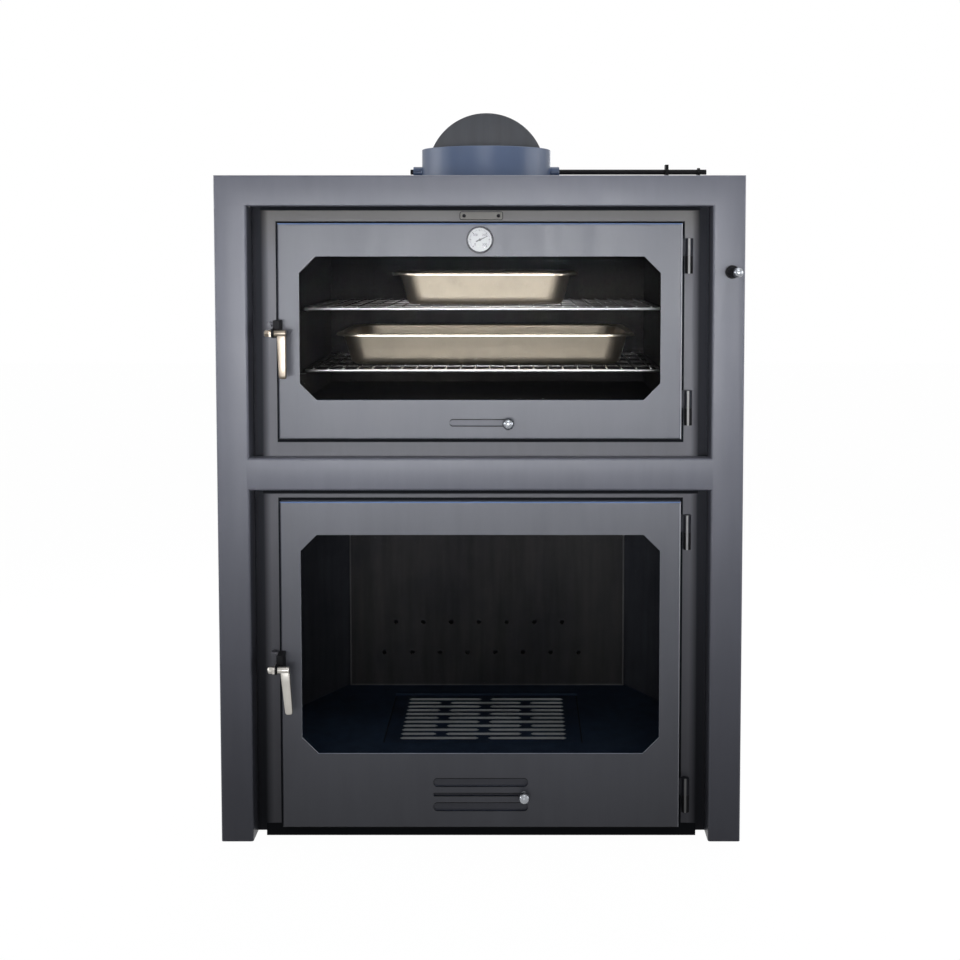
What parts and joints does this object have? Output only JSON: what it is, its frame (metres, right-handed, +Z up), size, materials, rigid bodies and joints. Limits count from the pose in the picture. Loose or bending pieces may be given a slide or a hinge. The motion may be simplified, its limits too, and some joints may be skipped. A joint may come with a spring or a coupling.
{
  "type": "wood stove with oven",
  "caption": "Free-standing sheet steel wood stove: a glazed firebox with grate and air register below, a glazed oven with racks above, and a flue collar with a throttle disc.",
  "frame": {"origin": "on the floor, under the middle of the whole stove with its pull knob", "axes": "+Z up, front faces -Y, +X to the right seen from the front"},
  "size_m": [0.86, 0.69, 1.246],
  "materials": {
    "satin_paint": "satin anthracite paint",
    "recess_paint": "satin grey heat paint",
    "collar_paint": "satin blue-grey heat paint",
    "disc_steel": "dark rolled steel",
    "black_steel": "black paint",
    "chrome": "polished",
    "chamber_steel": "dark, heat tinted",
    "pan_steel": "bright satin stainless",
    "fire_steel": "matt black heat paint",
    "cast_iron": "bare, unused",
    "galvanised": "galvanised",
    "bright_steel": "satin nickel",
    "clear_glass": "clear ceramic glass",
    "rope_seal": "woven glass rope",
    "dial_white": "matt white",
    "needle_black": "matt black"
  },
  "bodies": {
    "root": {"left_post": "satin_paint", "right_post": "satin_paint", "top_rail": "satin_paint", "middle_rail": "satin_paint", "face_plate": "recess_paint", "left_side_panel": "satin_paint", "right_side_panel": "satin_paint", "back_panel": "satin_paint", "top_plate": "satin_paint", "base_plate": "satin_paint", "flue_collar": "collar_paint", "shaft_stand": "black_steel", "rod_ferrule": "black_steel", "oven_floor": "chamber_steel", "oven_roof": "chamber_steel", "oven_left_wall": "chamber_steel", "oven_right_wall": "chamber_steel", "oven_back_wall": "chamber_steel", "lower_rack": "chrome", "upper_rack": "chrome", "large_pan": "pan_steel", "small_pan": "pan_steel", "fire_floor": "fire_steel", "left_lining": "fire_steel", "right_lining": "fire_steel", "back_lining": "fire_steel", "grate": "cast_iron", "ash_pan": "galvanised", "oven_hinge_lower_pin": "black_steel", "oven_hinge_upper_pin": "black_steel", "fire_hinge_lower_pin": "black_steel", "fire_hinge_upper_pin": "black_steel"},
    "oven_door": {"oven_door": "satin_paint", "oven_glass": "clear_glass", "oven_glass_retainer": "black_steel", "oven_seal": "rope_seal", "oven_hinge_lower": "satin_paint", "oven_hinge_upper": "satin_paint", "oven_handle_bracket": "black_steel", "thermometer_case": "bright_steel", "thermometer_dial": "dial_white"},
    "oven_handle": {"oven_handle": "bright_steel"},
    "oven_vent": {"oven_vent_slide": "satin_paint", "oven_vent_knob": "chrome"},
    "needle": {"thermometer_needle": "needle_black"},
    "fire_door": {"fire_door": "satin_paint", "fire_glass": "clear_glass", "fire_glass_retainer": "black_steel", "fire_seal": "rope_seal", "fire_hinge_lower": "satin_paint", "fire_hinge_upper": "satin_paint", "fire_handle_bracket": "black_steel"},
    "fire_handle": {"fire_handle": "bright_steel"},
    "air_register": {"air_slide": "satin_paint", "air_knob": "chrome"},
    "damper": {"damper_shaft": "black_steel", "damper_disc": "disc_steel"},
    "pull": {"pull_rod": "black_steel", "pull_knob": "chrome"}
  },
  "joints": [
    {"name": "oven_door_hinge", "type": "hinge", "parent": "root", "child": "oven_door", "pos_m": [0.3406, -0.259, 0.846], "axis": [0, 0, 1], "range_deg": [0, 95]},
    {"name": "oven_handle_pivot", "type": "hinge", "parent": "oven_door", "child": "oven_handle", "pos_m": [-0.3145, -0.313, 0.84673], "axis": [-1, 0, 0], "range_deg": [-6, 70]},
    {"name": "oven_vent_travel", "type": "slide", "parent": "oven_door", "child": "oven_vent", "axis": [-1, 0, 0], "range_m": [0, 0.09]},
    {"name": "needle_turn", "type": "hinge", "parent": "oven_door", "child": "needle", "pos_m": [0.0003, -0.279, 0.996], "axis": [0, 1, 0], "range_deg": [-200, 70]},
    {"name": "fire_door_hinge", "type": "hinge", "parent": "root", "child": "fire_door", "pos_m": [0.3406, -0.259, 0.295], "axis": [0, 0, 1], "range_deg": [0, 95]},
    {"name": "fire_handle_pivot", "type": "hinge", "parent": "fire_door", "child": "fire_handle", "pos_m": [-0.3145, -0.313, 0.30118], "axis": [-1, 0, 0], "range_deg": [-6, 70]},
    {"name": "air_register_travel", "type": "slide", "parent": "fire_door", "child": "air_register", "axis": [-1, 0, 0], "range_m": [0, 0.14]},
    {"name": "damper_turn", "type": "hinge", "parent": "root", "child": "damper", "pos_m": [0, 0.181, 1.131], "axis": [-1, 0, 0], "range_deg": [0, 90]},
    {"name": "pull_travel", "type": "slide", "parent": "root", "child": "pull", "axis": [0, -1, 0], "range_m": [0, 0.0708]}
  ],
  "couplings": [
    {"joint": "pull_travel", "follows": "damper_turn", "m_per_rad": 0.045016}
  ]
}
